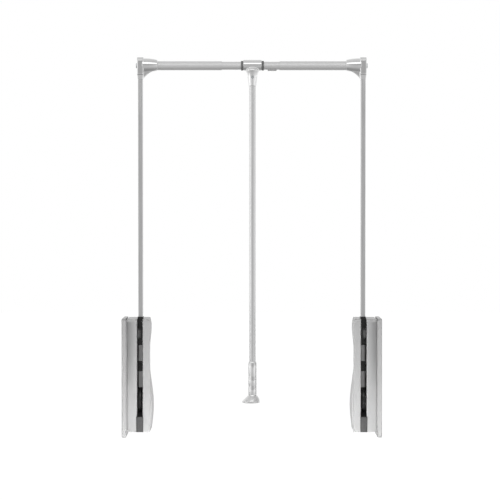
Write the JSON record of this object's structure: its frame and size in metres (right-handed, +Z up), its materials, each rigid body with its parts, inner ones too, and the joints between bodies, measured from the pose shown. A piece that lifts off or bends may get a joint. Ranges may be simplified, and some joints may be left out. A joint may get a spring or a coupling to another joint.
{
  "type": "pull down closet rod",
  "caption": "Wall-mounted wardrobe lift: a telescopic clothes rail on swinging arms that a hanging pull rod brings forward and down.",
  "frame": {"origin": "middle of the left wall plate's four screws, on the left side panel's surface", "axes": "+X from the left wall to the right wall, -Y out of the wardrobe towards the user, +Z up"},
  "size_m": [0.58, 0.1015, 0.8495],
  "materials": {
    "silver_plastic": "satin silver",
    "grey_rubber": "matt",
    "black_rubber": "matt",
    "black_plastic": "semi-gloss",
    "white_nylon": "matt",
    "grey_plastic": "satin",
    "zinc_steel": "zinc plated",
    "spring_steel": "oiled",
    "silver_aluminium": "satin anodised",
    "silver_rail": "satin",
    "chrome": "polished"
  },
  "bodies": {
    "left_housing": {"left_wall_plate": "silver_plastic", "left_outer_shell": "silver_plastic", "left_inner_shell": "silver_plastic", "left_housing_screws": "zinc_steel", "left_stop_block": "grey_rubber", "left_rest_buffer": "black_rubber", "left_spring_guide": "zinc_steel", "left_lift_spring": "spring_steel", "left_damper_cylinder": "zinc_steel"},
    "right_housing": {"right_wall_plate": "silver_plastic", "right_outer_shell": "silver_plastic", "right_inner_shell": "silver_plastic", "right_housing_screws": "zinc_steel", "right_stop_block": "grey_rubber", "right_rest_buffer": "black_rubber", "right_spring_guide": "zinc_steel", "right_lift_spring": "spring_steel", "right_damper_cylinder": "zinc_steel"},
    "left_arm": {"left_pivot_axle": "zinc_steel", "left_pivot_bush": "white_nylon", "left_drive_pinion": "black_plastic", "left_arm_hub": "black_plastic", "left_arm_tube": "silver_aluminium", "left_arm_shoe": "black_plastic", "left_arm_band": "black_plastic", "left_arm_rivets": "zinc_steel", "left_corner_bracket": "chrome", "left_rail_screw": "zinc_steel", "left_rail_plug": "black_plastic", "left_rail_tube": "silver_rail", "centre_tube": "silver_rail", "tee_ring_left": "black_rubber", "tee_ring_right": "black_rubber", "lock_spring": "spring_steel"},
    "right_arm": {"right_pivot_axle": "zinc_steel", "right_pivot_bush": "white_nylon", "right_drive_pinion": "black_plastic", "right_arm_hub": "black_plastic", "right_arm_tube": "silver_aluminium", "right_arm_shoe": "black_plastic", "right_arm_band": "black_plastic", "right_arm_rivets": "zinc_steel", "right_corner_bracket": "chrome", "right_rail_screw": "zinc_steel", "right_rail_plug": "black_plastic", "right_rail_tube": "silver_rail"},
    "left_rack": {"left_drive_rack": "white_nylon", "left_damper_rod": "zinc_steel"},
    "right_rack": {"right_drive_rack": "white_nylon", "right_damper_rod": "zinc_steel"},
    "pull_rod": {"tee": "chrome", "pull_rod": "chrome", "rod_screw": "zinc_steel", "handle_grip": "chrome", "handle_foot": "chrome"},
    "lock_button": {"lock_button": "grey_plastic"}
  },
  "joints": [
    {"name": "width_slide", "type": "slide", "parent": "left_housing", "child": "right_housing", "axis": [1, 0, 0], "range_m": [-0.006, 0.08]},
    {"name": "left_arm_swing", "type": "hinge", "parent": "left_housing", "child": "left_arm", "pos_m": [0.0405, -0.005, -0.053], "axis": [1, 0, 0], "range_deg": [0, 115], "stiffness_Nm_per_rad": 5, "springref_deg": -34.38},
    {"name": "right_arm_swing", "type": "hinge", "parent": "right_housing", "child": "right_arm", "pos_m": [0.5395, -0.005, -0.053], "axis": [1, 0, 0], "range_deg": [0, 115], "stiffness_Nm_per_rad": 5, "springref_deg": -34.38},
    {"name": "left_rack_slide", "type": "slide", "parent": "left_housing", "child": "left_rack", "axis": [0, 0, 1], "range_m": [0, 0.0362], "deforming": ["left_lift_spring"]},
    {"name": "right_rack_slide", "type": "slide", "parent": "right_housing", "child": "right_rack", "axis": [0, 0, 1], "range_m": [0, 0.0362], "deforming": ["right_lift_spring"]},
    {"name": "pull_rod_swing", "type": "hinge", "parent": "left_arm", "child": "pull_rod", "pos_m": [0.2915, -0.005, 0.698], "axis": [-1, 0, 0], "range_deg": [-30, 125]},
    {"name": "lock_button_press", "type": "slide", "parent": "left_arm", "child": "lock_button", "axis": [0, 0, 1], "range_m": [0, 0.0025], "stiffness_N_per_m": 600, "springref_m": -0.004, "deforming": ["lock_spring"]}
  ],
  "couplings": [
    {"joint": "right_arm_swing", "follows": "left_arm_swing", "ratio": 1},
    {"joint": "left_rack_slide", "follows": "left_arm_swing", "m_per_rad": 0.018},
    {"joint": "right_rack_slide", "follows": "left_arm_swing", "m_per_rad": 0.018}
  ]
}
